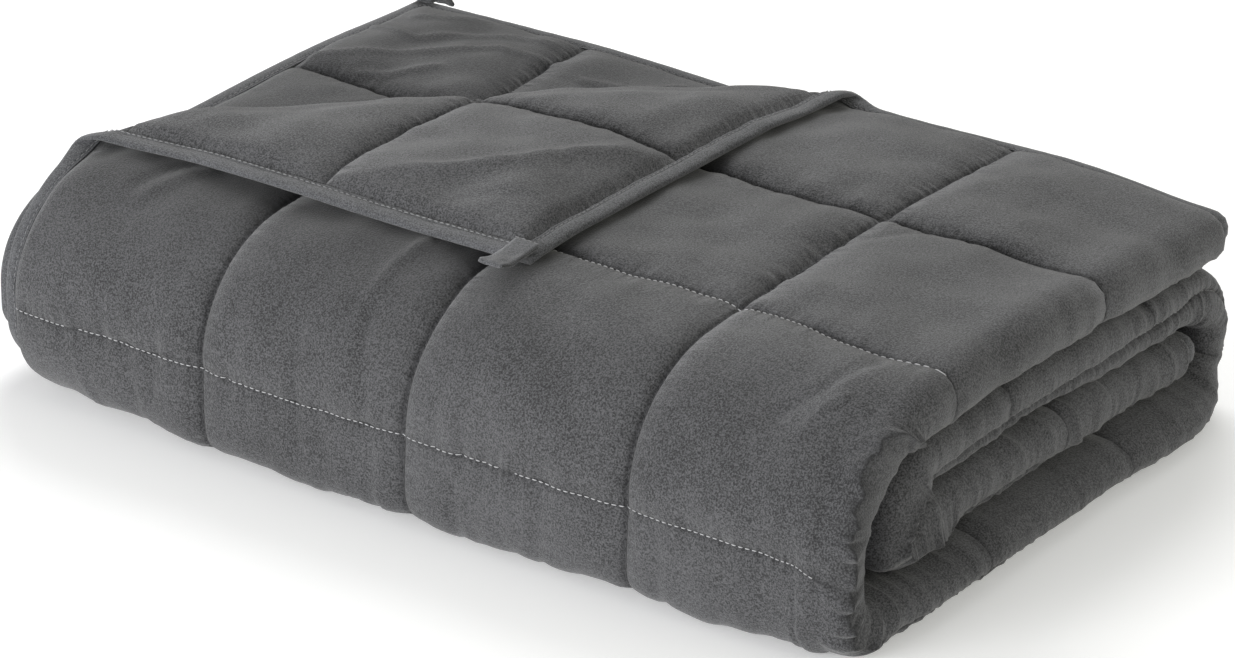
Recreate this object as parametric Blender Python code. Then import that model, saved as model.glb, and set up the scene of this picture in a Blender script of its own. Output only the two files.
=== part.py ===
"""Weighted blanket, quilted in squares, folded into a stack with one corner turned back.

Metres, +Z up. X runs along the stack, from the open end with the bound edges (-X) to the
fold (+X). Y runs from the rounded front (-Y) to the back. The origin is under the middle
of the stack, on the surface it lies on.

The blanket is one flat panel in its own coordinates: a across its columns of squares,
b along its rows, h out of its face. Every point of every piece is given as (a, b, h) and
then folded as the real blanket is:
  1. turn_back  one corner is turned back over a slanting crease
  2. fold_half  the panel is folded in half on its middle seam
  3. roll_up    the doubled panel is rolled over into four bands
  4. settle     the stack sinks a little at its rims and lies flat on the surface
"""

import math

import bmesh
import bpy

# Driving dimensions of the flat blanket.
CELL = 0.150            # side of one quilted square, seam to seam
COLUMNS = 8
ROWS = 11
EDGE = 0.009            # bound edge beyond the outer seams
LAYER = 0.0180          # height one layer takes in the stack

# Thickness of the quilt, as half thicknesses.
CROWN_HALF = 0.0086     # middle of a square
SEAM_HALF = 0.0016      # on a seam
RIM_HALF = 0.0007       # flat rim inside the binding
CROWN_REACH = 0.048     # distance from a seam at which the square is full
CROWN_POWER = 2.2       # steepness of the rise from the seam
FOLD_FULLNESS = 2.0     # the squares rise this much faster from the seam in the fold
SEAM_SHOULDER = 0.026   # first line of points beside a seam

# Folded stack.
FRONT_Y = -0.111        # front of the stack, measured from the seam two squares from the top edge
BACK_Y = 0.321          # back of the lower bands
TOP_EDGE_Y = 2 * CELL + EDGE
CREST_RADIUS = 0.062    # upper front bend of the doubled blanket
FOOT_RADIUS = 0.030     # lower front bend
INNER_SETBACK = 0.016   # room between the inner front bend and the outer one
HALF_FOLD_SHIFT = 0.007  # the fold in half lies this far off the middle seam
FOLD_WANDER = 0.003     # and wanders to either side of that line
FOLD_WANDER_LENGTH = 0.74
INNER_BEND_PINCH = 0.34  # thickness lost in the tightest bend
PINCH_FADE = 0.020      # distance over which a pinch fades out

# The fold stands out further at the bottom band, the open end further at the front.
BOTTOM_BULGE = 0.008
BOTTOM_BULGE_FROM = 0.44
BOTTOM_BULGE_TO = 0.90
OPEN_END_BULGE = 0.005
OPEN_END_BULGE_FROM = 0.20
OPEN_END_BULGE_TO = 0.58
BULGE_FADE = 0.080
OPEN_END_REACH = 0.150  # along the stack

# Turned-back corner.
CREASE = 2.15 * CELL    # where the crease meets the panel's sides, a + b = CREASE
CREASE_RADIUS = 0.0092
CREASE_CUTS = 8         # lines of points across the crease
CREASE_PINCH = 0.30
CREASE_END_FLATTENING = 0.36  # the crease lies flatter at the rim
CREASE_END_REACH = 0.045
FLAP_SAG = 0.0055       # how far the flap's free edges sink
FLAP_SAG_REACH = 0.050

# The second layer, bare beyond the crease: its corner stands up, its back edge lies further out.
SECOND_CORNER_LIFT = 0.0085
SECOND_LIFT_FROM = 0.015
SECOND_LIFT_REACH = 0.150
SECOND_EDGE_REACH = 0.009
SECOND_EDGE_FADE = 0.250
SECOND_EDGE_FROM = 0.620
SECOND_EDGE_RISE = 0.080

# Settling: each rim sinks by a share of its height, from a line on and growing over a reach.
FRONT_SINK = 0.050
FRONT_SINK_FROM = 0.030
BACK_SINK = 0.045
BACK_SINK_FROM = 0.200
SINK_REACH = 0.120
FOLD_CORNER_SINK = 0.10  # back corner at the fold, where the top band droops
FOLD_CORNER_FROM_X = 0.470
FOLD_CORNER_REACH_X = 0.150
FOLD_CORNER_FROM_Y = 0.060
FOLD_CORNER_REACH_Y = 0.220
FLOOR_BITE = 0.0022     # crowns under the stack are pressed flat by this much

# Binding, a folded strip that clasps the rim.
BINDING_WIDTH = 0.0115
BINDING_HALF = 0.0028
BINDING_SLOT_HALF = 0.0019
BINDING_LIP = 0.0011    # wall of the binding at its outer edge
RIM_GAP = 0.0008        # from there to the rim of the quilt
PIECE_GAP = 0.0012      # between the binding and a loop
RIM_MARGIN = 0.0024     # bare thin rim between the binding and the first square
RIM_WIDTH = BINDING_WIDTH - EDGE + RIM_MARGIN  # the thin rim reaches this far in from the outer seams
MITRE_CLEARANCE = 0.001  # from a mitred corner to the next section of the binding
CREASE_CLEARANCE = 0.003  # from the crease to the next straight section
SLANT_FADE = 0.015      # beyond the crease the sections turn square again over this distance

# Corner loops of flat tape, doubled, sewn onto the binding.
LOOP_OVERLAP = 0.0095   # part of a loop that lies on the binding
LOOP_LENGTH = 0.0305
LOOP_WIDTH = 0.016
LOOP_HALF = 0.0016
LOOP_SLOT_HALF = 0.0005
LOOP_TIP = 0.0010       # rounding of the tip
LOOP_FROM_CORNER = 0.001
FRONT_LOOP_CURL = -42.0  # curvature of the free part, upwards where negative
BACK_LOOP_CURL = 55.0

# Lines of points on the panel.
COLUMN_SPACING = 0.0055  # least distance between two lines of constant a
ROW_SPACING = 0.0068    # and of constant b
RIM_LINE_MARGIN = 0.0002  # the innermost rim line lies just inside the thin rim
CORNER_REGION = 3 * CELL  # part of the panel that the crease crosses
CUT_TOLERANCE = 0.0002
MERGE_DISTANCE = 0.0016
SHARP_ANGLE = math.radians(50)

WIDTH = COLUMNS * CELL
LENGTH = ROWS * CELL

CHARCOAL = (0.072, 0.074, 0.078, 1.0)
BINDING_GREY = (0.085, 0.087, 0.090, 1.0)


def smooth(value):
    """Smooth step from 0 to 1."""
    value = min(max(value, 0.0), 1.0)
    return value * value * (3.0 - 2.0 * value)


def zone(value, start, end, fade):
    """1 between start and end, fading to 0 inside either of them."""
    return smooth((value - start) / fade) * smooth((end - value) / fade)


def roll_segments():
    """The bands and bends of the rolled-up stack: (name, run length, turn angle, radius, steps).

    Radii belong to the middle of the doubled blanket. Its outer layer lies half a layer
    further out, and that layer sets how much of the panel each bend takes. Steps are the
    parts into which a bend is cut.
    """
    crest_y = FRONT_Y + LAYER + CREST_RADIUS
    foot_y = FRONT_Y + LAYER + FOOT_RADIUS
    back_y = BACK_Y - 3 * LAYER
    inner_y = FRONT_Y + 4 * LAYER + INNER_SETBACK
    quarter = math.pi / 2
    return (
        ("top band", TOP_EDGE_Y - crest_y, 0.0, 0.0, 0),
        ("crest", 0.0, quarter, CREST_RADIUS, 7),
        ("front face", 6 * LAYER - CREST_RADIUS - FOOT_RADIUS, 0.0, 0.0, 0),
        ("foot", 0.0, quarter, FOOT_RADIUS, 5),
        ("bottom band", back_y - foot_y, 0.0, 0.0, 0),
        ("back bend", 0.0, math.pi, 2 * LAYER, 9),
        ("upper inner band", back_y - inner_y, 0.0, 0.0, 0),
        ("inner bend", 0.0, math.pi, LAYER, 9),
        ("lower inner band", LENGTH, 0.0, 0.0, 0),
    )


ROLL = roll_segments()


def segment_length(segment):
    """Length of panel that a segment takes, along the outer layer."""
    _, run, turn, radius, _ = segment
    return run + turn * (radius + LAYER / 2)


def segment_start(name):
    """Where on the panel, in b, a named segment starts."""
    names = [segment[0] for segment in ROLL]
    return sum(segment_length(segment) for segment in ROLL[:names.index(name)]) - EDGE


def roll_frame(b):
    """Point, direction and outward normal of the doubled blanket's middle at b, in (y, z)."""
    y, z = TOP_EDGE_Y, 7 * LAYER
    heading = math.pi
    left = b + EDGE
    for segment in ROLL:
        _, run, turn, radius, _ = segment
        size = segment_length(segment)
        part = left if segment is ROLL[-1] or left < size else size
        if turn == 0.0:
            y += part * math.cos(heading)
            z += part * math.sin(heading)
        else:
            angle = turn * part / size
            centre_y = y - radius * math.sin(heading)
            centre_z = z + radius * math.cos(heading)
            heading += angle
            y = centre_y + radius * math.sin(heading)
            z = centre_z - radius * math.cos(heading)
        left -= part
        if left <= 0.0:
            break
    return y, z, math.sin(heading), -math.cos(heading)


def turn_back(a, b, h):
    """Fold the corner beyond the crease over onto the panel."""
    beyond = (CREASE - a - b) / math.sqrt(2)
    arc = math.pi * CREASE_RADIUS / 2
    if beyond <= -arc:
        return a, b, h
    if beyond >= arc:
        along, turned = -beyond, math.pi
    else:
        turned = (beyond + arc) / CREASE_RADIUS
        along = -arc + CREASE_RADIUS * math.sin(turned)
    edge_distance = min(a, b) + EDGE
    on_flap = smooth((beyond - arc) / FLAP_SAG_REACH)
    sag = FLAP_SAG * max(1.0 - edge_distance / FLAP_SAG_REACH, 0.0) * on_flap
    flatter = CREASE_END_FLATTENING * (1.0 - smooth(edge_distance / CREASE_END_REACH)) * (1.0 - on_flap)
    height = CREASE_RADIUS * (1.0 - math.cos(turned)) * (1.0 - flatter) + h * math.cos(turned) - sag
    along -= h * math.sin(turned)
    shift = (beyond - along) / math.sqrt(2)
    return a + shift, b + shift, height


def fold_half(a, b, h):
    """Fold the panel in half: returns x, b and the offset from the doubled blanket's middle."""
    radius = LAYER / 2
    wander = FOLD_WANDER * math.sin(2 * math.pi * b / FOLD_WANDER_LENGTH)
    fold = WIDTH / 2 - HALF_FOLD_SHIFT + wander
    arc = math.pi * radius / 2
    past = a - fold
    if past <= -arc:
        x, offset = a, radius + h
    elif past >= arc:
        x, offset = 2 * fold - a, -radius - h
    else:
        turned = (past + arc) / radius
        bulge = BOTTOM_BULGE * zone(b, BOTTOM_BULGE_FROM, BOTTOM_BULGE_TO, BULGE_FADE)
        x = fold - arc + (radius + h + bulge) * math.sin(turned)
        offset = (radius + h) * math.cos(turned)
    in_front = zone(b, OPEN_END_BULGE_FROM, OPEN_END_BULGE_TO, BULGE_FADE)
    x -= OPEN_END_BULGE * in_front * (1.0 - smooth((x + EDGE) / OPEN_END_REACH))
    return x, b, offset


def roll_up(x, b, offset):
    """Roll the doubled blanket over into its four bands."""
    y, z, normal_y, normal_z = roll_frame(b)
    return x, y + offset * normal_y, z + offset * normal_z


def settle(x, y, z):
    """Sink the stack at its rims and press it onto the surface."""
    front = FRONT_SINK * smooth((FRONT_SINK_FROM - y) / SINK_REACH)
    back = BACK_SINK * smooth((y - BACK_SINK_FROM) / SINK_REACH)
    corner = FOLD_CORNER_SINK * smooth((x - FOLD_CORNER_FROM_X) / FOLD_CORNER_REACH_X)
    corner *= smooth((y - FOLD_CORNER_FROM_Y) / FOLD_CORNER_REACH_Y)
    z = max(z * (1.0 - front - back - corner) - FLOOR_BITE, 0.0)
    return x, y, z


def second_layer(a, b, h):
    """Lift the bare corner of the second layer and push its back edge outwards."""
    from_open_end = 2 * (WIDTH / 2 - HALF_FOLD_SHIFT) - a
    bare_depth = (CREASE - from_open_end - b) / math.sqrt(2)
    h -= SECOND_CORNER_LIFT * smooth((bare_depth - SECOND_LIFT_FROM) / SECOND_LIFT_REACH)
    at_edge = 1.0 - smooth((b + EDGE) / SECOND_EDGE_FADE)
    b -= SECOND_EDGE_REACH * at_edge * smooth((a - SECOND_EDGE_FROM) / SECOND_EDGE_RISE)
    return a, b, h


def place(a, b, h):
    """Where a point of the flat blanket lies in the stack."""
    if a > WIDTH / 2:
        a, b, h = second_layer(a, b, h)
    return settle(*roll_up(*fold_half(*turn_back(a, b, h))))


def fullness(distance):
    """Rise of a square from its seam: 0 on the seam, 1 where it is full."""
    return 1.0 - (1.0 - min(distance / CROWN_REACH, 1.0)) ** CROWN_POWER


def half_thickness(a, b):
    """Half the quilt's thickness at (a, b)."""
    if min(a, b, WIDTH - a, LENGTH - b) < RIM_WIDTH:
        return RIM_HALF
    column = round(a / CELL)
    to_column = abs(a / CELL - column) * CELL
    if column == COLUMNS / 2:
        to_column *= FOLD_FULLNESS
    to_row = abs(b / CELL - round(b / CELL)) * CELL
    shortfall = math.hypot(1.0 - fullness(to_column), 1.0 - fullness(to_row))
    half = SEAM_HALF + (CROWN_HALF - SEAM_HALF) * max(1.0 - shortfall, 0.0)
    arc = math.pi * CREASE_RADIUS / 2
    at_crease = 1.0 - smooth((abs(CREASE - a - b) / math.sqrt(2) - arc) / PINCH_FADE)
    outside = max(segment_start("inner bend") - b, b - segment_start("lower inner band"), 0.0)
    at_bend = 1.0 - smooth(outside / PINCH_FADE)
    return half * (1.0 - CREASE_PINCH * at_crease) * (1.0 - INNER_BEND_PINCH * at_bend)


def thin_out(wanted, spacing):
    """Keep the lines in their order of rank, dropping any closer than the spacing to one kept."""
    kept = []
    for value in wanted:
        if all(abs(value - other) >= spacing for other in kept):
            kept.append(value)
    return sorted(kept)


def seam_lines(count):
    """Lines across one direction of the panel: (rim and seams, shoulders and mid squares)."""
    size = count * CELL
    outer = EDGE - BINDING_LIP - RIM_GAP
    inner = RIM_WIDTH - RIM_LINE_MARGIN
    firm = [-outer, size + outer, inner, size - inner] + [k * CELL for k in range(1, count)]
    soft = []
    for k in range(count):
        soft += [(k + 0.5) * CELL, k * CELL + SEAM_SHOULDER, (k + 1) * CELL - SEAM_SHOULDER]
    return firm, soft


def column_lines():
    """Lines of constant a, closer together around the fold in half."""
    fold = WIDTH / 2 - HALF_FOLD_SHIFT
    arc = math.pi * LAYER / 4
    bend = [fold + arc * step / 2 for step in (-2, 2, -1, 1)]
    firm, soft = seam_lines(COLUMNS)
    return thin_out(firm + bend + soft, COLUMN_SPACING)


def row_lines():
    """Lines of constant b, closer together around the bends."""
    bends = []
    for segment in ROLL:
        name, _, turn, _, steps = segment
        if turn > 0.0:
            size = segment_length(segment)
            bends += [segment_start(name) + size * k / steps for k in range(steps + 1)]
    firm, soft = seam_lines(ROWS)
    return thin_out(firm + bends + soft, ROW_SPACING)


def crease_offsets():
    """Offsets of a + b from CREASE at which the panel is cut across the crease."""
    arc = math.pi * CREASE_RADIUS / 2
    return [math.sqrt(2) * arc * (2 * k / (CREASE_CUTS - 1) - 1) for k in range(CREASE_CUTS)]


def flat_panel():
    """The flat panel as a triangulated sheet in (a, b), cut along the crease."""
    sheet = bmesh.new()
    columns, rows = column_lines(), row_lines()
    grid = [[sheet.verts.new((a, b, 0.0)) for b in rows] for a in columns]
    for i in range(len(columns) - 1):
        for j in range(len(rows) - 1):
            sheet.faces.new((grid[i][j], grid[i + 1][j], grid[i + 1][j + 1], grid[i][j + 1]))
    for offset in crease_offsets():
        corner = [face for face in sheet.faces if face.calc_center_median().x < CORNER_REGION
                  and face.calc_center_median().y < CORNER_REGION]
        edges = {edge for face in corner for edge in face.edges}
        verts = {vert for face in corner for vert in face.verts}
        bmesh.ops.bisect_plane(sheet, geom=corner + list(edges) + list(verts), dist=CUT_TOLERANCE,
                               plane_co=(CREASE + offset, 0.0, 0.0), plane_no=(1.0, 1.0, 0.0))
    inner = [vert for vert in sheet.verts if min(vert.co.x, vert.co.y) > BINDING_WIDTH]
    bmesh.ops.remove_doubles(sheet, verts=inner, dist=MERGE_DISTANCE)
    bmesh.ops.triangulate(sheet, faces=sheet.faces[:])
    return sheet


def finish(name, mesh, colour, roughness):
    """Make an object of a mesh, with its own material."""
    mesh.shade_smooth()
    mesh.set_sharp_from_angle(angle=SHARP_ANGLE)
    material = bpy.data.materials.new(name)
    material.use_nodes = True
    shader = material.node_tree.nodes["Principled BSDF"]
    shader.inputs["Base Color"].default_value = colour
    shader.inputs["Roughness"].default_value = roughness
    shader.inputs["Metallic"].default_value = 0.0
    mesh.materials.append(material)
    item = bpy.data.objects.new(name, mesh)
    bpy.context.collection.objects.link(item)
    return item


def closed_mesh(name, points, faces):
    """A mesh of the points and faces, triangulated, with its faces turned outwards."""
    shell = bmesh.new()
    verts = [shell.verts.new(point) for point in points]
    for face in faces:
        shell.faces.new([verts[index] for index in face])
    bmesh.ops.triangulate(shell, faces=shell.faces[:], quad_method="SHORT_EDGE")
    bmesh.ops.recalc_face_normals(shell, faces=shell.faces[:])
    mesh = bpy.data.meshes.new(name)
    shell.to_mesh(mesh)
    shell.free()
    return mesh


def quilt():
    """The quilted panel: both faces crowned between the seams, folded into the stack."""
    sheet = flat_panel()
    sheet.verts.index_update()
    flat = [(vert.co.x, vert.co.y) for vert in sheet.verts]
    upper = [place(a, b, half_thickness(a, b)) for a, b in flat]
    lower = [place(a, b, -half_thickness(a, b)) for a, b in flat]
    count = len(flat)
    faces = []
    for face in sheet.faces:
        corners = [vert.index for vert in face.verts]
        faces.append(corners)
        faces.append([index + count for index in reversed(corners)])
    for edge in sheet.edges:
        if edge.is_boundary:
            first, second = (vert.index for vert in edge.verts)
            faces.append((first, second, second + count, first + count))
    sheet.free()
    return finish("quilt", closed_mesh("quilt", upper + lower, faces), CHARCOAL, 0.92)


def binding_section():
    """Section of the binding: (inset from the outer edge, height), round its clasp."""
    outer, slot, lip = BINDING_HALF, BINDING_SLOT_HALF, BINDING_LIP
    upper = ((BINDING_WIDTH, slot), (BINDING_WIDTH, outer), (lip, outer), (0.0, outer - lip))
    lower = tuple((inset, -height) for inset, height in reversed(upper))
    return upper + lower + ((lip, -slot), (lip, slot))


def side_stations(lines, crossing):
    """Stations along one side of the binding, as (place along the side, slant).

    Where the crease crosses the side, the stations lie on the panel's own cuts and slant
    with the crease; the slant fades out on either side.
    """
    corner = BINDING_WIDTH + MITRE_CLEARANCE
    lines = [line for line in lines if lines[0] + corner < line < lines[-1] - corner]
    if not crossing:
        return [(line, 0.0) for line in lines]
    middle = CREASE + EDGE
    cuts = [middle + offset for offset in crease_offsets()]
    reach = cuts[-1] - middle
    lines = [line for line in lines if abs(line - middle) > reach + CREASE_CLEARANCE]
    return [(line, 1.0 - smooth((abs(line - middle) - reach) / SLANT_FADE)) for line in sorted(lines + cuts)]


def edge_binding():
    """The binding all round the panel, mitred at its four corners."""
    columns = side_stations(column_lines(), True)
    rows = side_stations(row_lines(), True)
    far_columns = side_stations(column_lines(), False)
    far_rows = side_stations(row_lines(), False)
    low_a, high_a = -EDGE, WIDTH + EDGE
    low_b, high_b = -EDGE, LENGTH + EDGE
    stations = [(low_a, low_b, 1, 1)]
    stations += [(a, low_b, -slant, 1) for a, slant in columns]
    stations += [(high_a, low_b, -1, 1)]
    stations += [(high_a, b, -1, 0) for b, _ in far_rows]
    stations += [(high_a, high_b, -1, -1)]
    stations += [(a, high_b, 0, -1) for a, _ in reversed(far_columns)]
    stations += [(low_a, high_b, 1, -1)]
    stations += [(low_a, b, 1, -slant) for b, slant in reversed(rows)]
    section = binding_section()
    points, faces = [], []
    for a, b, in_a, in_b in stations:
        points += [place(a + in_a * inset, b + in_b * inset, height) for inset, height in section]
    sides = len(section)
    for k in range(len(stations)):
        this, following = k * sides, (k + 1) % len(stations) * sides
        for m in range(sides):
            n = (m + 1) % sides
            faces.append((this + m, this + n, following + n, following + m))
    return finish("edge_binding", closed_mesh("edge_binding", points, faces), BINDING_GREY, 0.9)


def loop_section():
    """Outer and inner line of a doubled tape, as matching points (distance from its root, height)."""
    middle = (LOOP_OVERLAP + LOOP_LENGTH) / 2
    lines = []
    for tip, half in ((LOOP_LENGTH, LOOP_HALF), (LOOP_LENGTH - LOOP_HALF + LOOP_SLOT_HALF, LOOP_SLOT_HALF)):
        upper = ((0.0, half), (LOOP_OVERLAP, half), (middle, half), (tip - LOOP_TIP, half), (tip, half / 2))
        lines.append(upper + tuple((reach, -height) for reach, height in reversed(upper)))
    return lines


def curled(reach, height, curl):
    """Bend the part of a loop beyond the binding's edge: returns distance outwards and height."""
    run = reach - LOOP_OVERLAP
    if run <= 0.0:
        return run, height
    angle = curl * run
    radius = 1.0 / curl
    return radius * math.sin(angle) - height * math.sin(angle), radius - (radius - height) * math.cos(angle)


def corner_loop(name, root_a, root_b, out_a, out_b, curl):
    """A flat loop of tape on the binding, which reaches out over its edge at (root_a, root_b)."""
    outer, inner = loop_section()
    section = outer + tuple(reversed(inner))
    seat = -(BINDING_HALF + PIECE_GAP + LOOP_HALF)
    points, faces = [], []
    for across in (0.0, 0.5, 1.0):
        for reach, height in section:
            run, height = curled(reach, height, curl)
            a = root_a + out_a * run + abs(out_b) * LOOP_WIDTH * across
            b = root_b + out_b * run + abs(out_a) * LOOP_WIDTH * across
            points.append(place(a, b, height + seat))
    sides = len(section)
    for step in range(2):
        for m in range(sides):
            n = (m + 1) % sides
            this, following = step * sides, (step + 1) * sides
            faces.append((this + m, this + n, following + n, following + m))
    for end in (0, 2 * sides):
        for m in range(len(outer) - 1):
            faces.append((end + m, end + m + 1, end + sides - 2 - m, end + sides - 1 - m))
    return finish(name, closed_mesh(name, points, faces), BINDING_GREY, 0.85)


def centre(pieces):
    """Move the pieces together so that the middle of their box's base is the origin."""
    spots = [vert.co for piece in pieces for vert in piece.data.vertices]
    middle_x = (min(spot.x for spot in spots) + max(spot.x for spot in spots)) / 2
    middle_y = (min(spot.y for spot in spots) + max(spot.y for spot in spots)) / 2
    for spot in spots:
        spot.x -= middle_x
        spot.y -= middle_y


def build():
    """Clear the scene and model the blanket's pieces."""
    for item in list(bpy.data.objects):
        bpy.data.objects.remove(item, do_unlink=True)
    front_b = LOOP_FROM_CORNER - EDGE
    back_a = WIDTH + EDGE - LOOP_WIDTH - LOOP_FROM_CORNER
    front_loop = corner_loop("corner_loop_front", -EDGE, front_b, -1, 0, FRONT_LOOP_CURL)
    back_loop = corner_loop("corner_loop_back", back_a, -EDGE, 0, -1, BACK_LOOP_CURL)
    centre([quilt(), edge_binding(), front_loop, back_loop])


build()
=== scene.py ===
"""Weighted blanket, quilted in squares, folded into a stack with one corner turned back.

Every piece is first laid out on the flat blanket, in metres: a across its columns of
squares, b along its rows, h out of its face. It is then folded as the real one is: a corner
is turned back, the blanket is folded in half and rolled over into four bands.
"""
import math
import bmesh
import bpy
import numpy as np
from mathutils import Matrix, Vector


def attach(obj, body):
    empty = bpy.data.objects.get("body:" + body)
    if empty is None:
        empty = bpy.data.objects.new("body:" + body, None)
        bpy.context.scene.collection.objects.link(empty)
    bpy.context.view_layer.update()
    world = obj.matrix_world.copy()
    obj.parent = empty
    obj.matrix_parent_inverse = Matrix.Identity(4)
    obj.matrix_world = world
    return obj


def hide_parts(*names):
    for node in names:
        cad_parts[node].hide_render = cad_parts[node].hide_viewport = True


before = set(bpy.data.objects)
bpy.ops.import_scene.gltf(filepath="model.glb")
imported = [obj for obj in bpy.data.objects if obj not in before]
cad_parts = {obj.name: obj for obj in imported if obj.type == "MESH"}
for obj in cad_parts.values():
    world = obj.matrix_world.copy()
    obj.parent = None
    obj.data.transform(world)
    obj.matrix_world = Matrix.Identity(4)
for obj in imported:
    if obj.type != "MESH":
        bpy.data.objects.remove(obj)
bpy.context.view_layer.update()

# ---------------------------------------------------------------------------
# Camera: a long lens a little above the blanket, from its front and right. Angles, distance
# and target are fitted to the seams and the outline of the real one.
CAMERA_AZIMUTH = math.radians(35.821)
CAMERA_ELEVATION = math.radians(24.467)
CAMERA_DISTANCE = 2.400
CAMERA_LENS = 121.06
CAMERA_TARGET = Vector((0.0531, -0.0682, 0.0750))
camera_data = bpy.data.cameras.new("camera")
camera_data.lens = CAMERA_LENS
camera_data.sensor_width = 36.0
camera_data.clip_end = 20.0
camera = bpy.data.objects.new("camera", camera_data)
bpy.context.scene.collection.objects.link(camera)
backwards = Vector((math.sin(CAMERA_AZIMUTH) * math.cos(CAMERA_ELEVATION),
                    -math.cos(CAMERA_AZIMUTH) * math.cos(CAMERA_ELEVATION),
                    math.sin(CAMERA_ELEVATION)))
camera.location = CAMERA_TARGET + CAMERA_DISTANCE * backwards
camera.rotation_euler = backwards.to_track_quat("Z", "Y").to_euler()
bpy.context.scene.camera = camera

# ---------------------------------------------------------------------------
# The quilted panel: two faces of brushed microfibre with filling between them, sewn through
# in 8 by 11 squares. The sewing draws the cloth in, so each square stands up between its
# seams and the cloth puckers along them.
CELL = 0.150        # one square, seam to seam
COLUMNS = 8
ROWS = 11
EDGE = 0.009        # cloth outside the outermost squares
WIDTH = COLUMNS * CELL
LENGTH = ROWS * CELL
LAYER = 0.0180      # one thickness in the stack
CROWN_HALF = 0.0086
SEAM_HALF = 0.0014
RIM_HALF = 0.0007
CROWN_REACH = 0.048  # from a seam to where a square is full
FRONT_Y = -0.111
BACK_Y = 0.321
TOP_EDGE_Y = 2 * CELL + EDGE
CREST_RADIUS = 0.062
FOOT_RADIUS = 0.030
INNER_SETBACK = 0.016
HALF_FOLD_SHIFT = 0.007
FOLD_WANDER = 0.003
FOLD_WANDER_LENGTH = 0.74
CREASE = 2.15 * CELL  # a + b on the crease of the turned corner
CREASE_RADIUS = 0.0092
FLAP_SAG = 0.0045
FLAP_SAG_REACH = 0.050
FRONT_SINK = 0.050
BACK_SINK = 0.030
FOLD_CORNER_SINK = 0.09
FLOOR_BITE = 0.0022
END_FOLD_FULLNESS = 0.07
MIDDLE_SEAM_WANDER = 0.013
INNER_BEND_REACH = 0.009
INNER_BEND_DROP = 0.006
RIM_CURL = 0.0042
CREASE_POINT = 0.006
CREASE_END_FLATTENING = 0.28
BOTTOM_END_BULGE = 0.016
BACK_END_DRAW = 0.004
LEFT_END_BULGE = 0.002
FOOT_CORNER_FILL = 0.0075
SECOND_CORNER_LIFT = 0.0085
SECOND_EDGE_REACH = 0.009
SECOND_SEAM_SHIFT = 0.012
SEAM_DRIFT = 0.0022
SEAM_DRIFT_LENGTH = 0.085
FOOT_SEAM_RISE = 0.0062
CREST_SEAM_DROP = 0.011
STACK_CENTRE_X = 0.282282
STACK_CENTRE_Y = 0.114296


def smooth(value):
    """Smooth step from 0 to 1."""
    value = np.clip(value, 0.0, 1.0)
    return value * value * (3.0 - 2.0 * value)


def close_to(place, centre, reach):
    """1 at the centre, falling softly to 0 on both sides of it."""
    return np.exp(-((place - centre) / reach) ** 2)


def within(place, start, end, rising, falling):
    """1 from start to end, with a soft rise after the one and a soft fall before the other."""
    return smooth((place - start) / rising) * smooth((end - place) / falling)


def unevenness(across, along, seed):
    """Soft random relief of about -1 to 1, with one hump or hollow to each unit."""
    angles = np.random.default_rng(seed).uniform(0.0, 2.0 * math.pi, (256, 256))
    column = np.floor(across).astype(int)
    row = np.floor(along).astype(int)
    u, v = across - column, along - row
    total = 0.0
    for i in (0, 1):
        for j in (0, 1):
            angle = angles[(column + i) % 256, (row + j) % 256]
            slope = (u - i) * np.cos(angle) + (v - j) * np.sin(angle)
            share_u = 1.0 - np.abs(u - i)
            share_v = 1.0 - np.abs(v - j)
            share_u = share_u ** 3 * (share_u * (share_u * 6.0 - 15.0) + 10.0)
            share_v = share_v ** 3 * (share_v * (share_v * 6.0 - 15.0) + 10.0)
            total = total + slope * share_u * share_v
    return total * 1.5


crest_y = FRONT_Y + LAYER + CREST_RADIUS
foot_y = FRONT_Y + LAYER + FOOT_RADIUS
back_y = BACK_Y - 3 * LAYER
inner_y = FRONT_Y + 4 * LAYER + INNER_SETBACK
bands_and_bends = (
    (TOP_EDGE_Y - crest_y, 0.0, 0.0),
    (0.0, math.pi / 2, CREST_RADIUS),
    (6 * LAYER - CREST_RADIUS - FOOT_RADIUS, 0.0, 0.0),
    (0.0, math.pi / 2, FOOT_RADIUS),
    (back_y - foot_y, 0.0, 0.0),
    (0.0, math.pi, 2 * LAYER),
    (back_y - inner_y, 0.0, 0.0),
    (0.0, math.pi, LAYER),
    (LENGTH, 0.0, 0.0),
)
FOOT_BEND = 3   # places in that list
INNER_BEND = 7
# Where the crease of the turned corner lies flatter, as (a - b, reach, share).
CREASE_DIPS = ((0.175, 0.075, 0.27), (-0.16, 0.06, 0.13), (0.255, 0.045, 0.12))


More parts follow.
